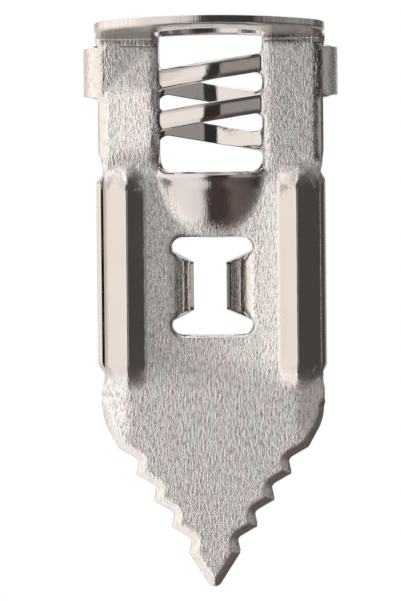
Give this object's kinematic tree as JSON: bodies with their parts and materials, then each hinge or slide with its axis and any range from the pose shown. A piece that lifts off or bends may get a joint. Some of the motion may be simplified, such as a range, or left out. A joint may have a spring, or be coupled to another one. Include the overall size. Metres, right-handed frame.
{
  "type": "sheet steel wall anchor",
  "caption": "Sheet-steel wall anchor with a dished slotted flange, pressed thread strips, side lugs and serrated legs that a screw wedges apart.",
  "frame": {"origin": "where the screw axis crosses the plane of the wall, level with the crease under the flange", "axes": "+Z out of the wall along the screw axis, +X across the plates to the right as seen from the front, -Y towards the front plate's side"},
  "size_m": [0.017, 0.0132, 0.0377],
  "materials": {
    "brushed_plate": "bright zinc plating over a fine lengthwise rolling grain",
    "pressed_steel": "bright zinc plating, burnished smooth by the press tool",
    "flange_steel": "bright zinc plating with a sheared rim"
  },
  "bodies": {
    "collar": {"front_flange_lip": "flange_steel", "rear_flange_lip": "flange_steel", "front_left_wall": "brushed_plate", "front_right_wall": "brushed_plate", "rear_left_wall": "brushed_plate", "rear_right_wall": "brushed_plate", "left_lug": "pressed_steel", "right_lug": "pressed_steel", "front_upper_strip": "pressed_steel", "rear_upper_strip": "pressed_steel", "front_lower_strip": "pressed_steel", "rear_lower_strip": "pressed_steel"},
    "front_spreading_leg": {"front_leg": "brushed_plate", "front_funnel": "pressed_steel", "front_left_rib": "pressed_steel", "front_right_rib": "pressed_steel", "front_flaps": "pressed_steel", "front_blade": "brushed_plate"},
    "rear_spreading_leg": {"rear_leg": "brushed_plate", "rear_funnel": "pressed_steel", "rear_left_rib": "pressed_steel", "rear_right_rib": "pressed_steel", "rear_flaps": "pressed_steel", "rear_blade": "brushed_plate"}
  },
  "joints": [
    {"name": "front_leg_spread", "type": "hinge", "parent": "collar", "child": "front_spreading_leg", "pos_m": [0, -0.0011, -0.0082], "axis": [-1, 0, 0], "range_deg": [0, 12]},
    {"name": "rear_leg_spread", "type": "hinge", "parent": "collar", "child": "rear_spreading_leg", "pos_m": [0, 0.0011, -0.0082], "axis": [1, 0, 0], "range_deg": [0, 12]}
  ],
  "couplings": [
    {"joint": "rear_leg_spread", "follows": "front_leg_spread", "ratio": 1}
  ]
}
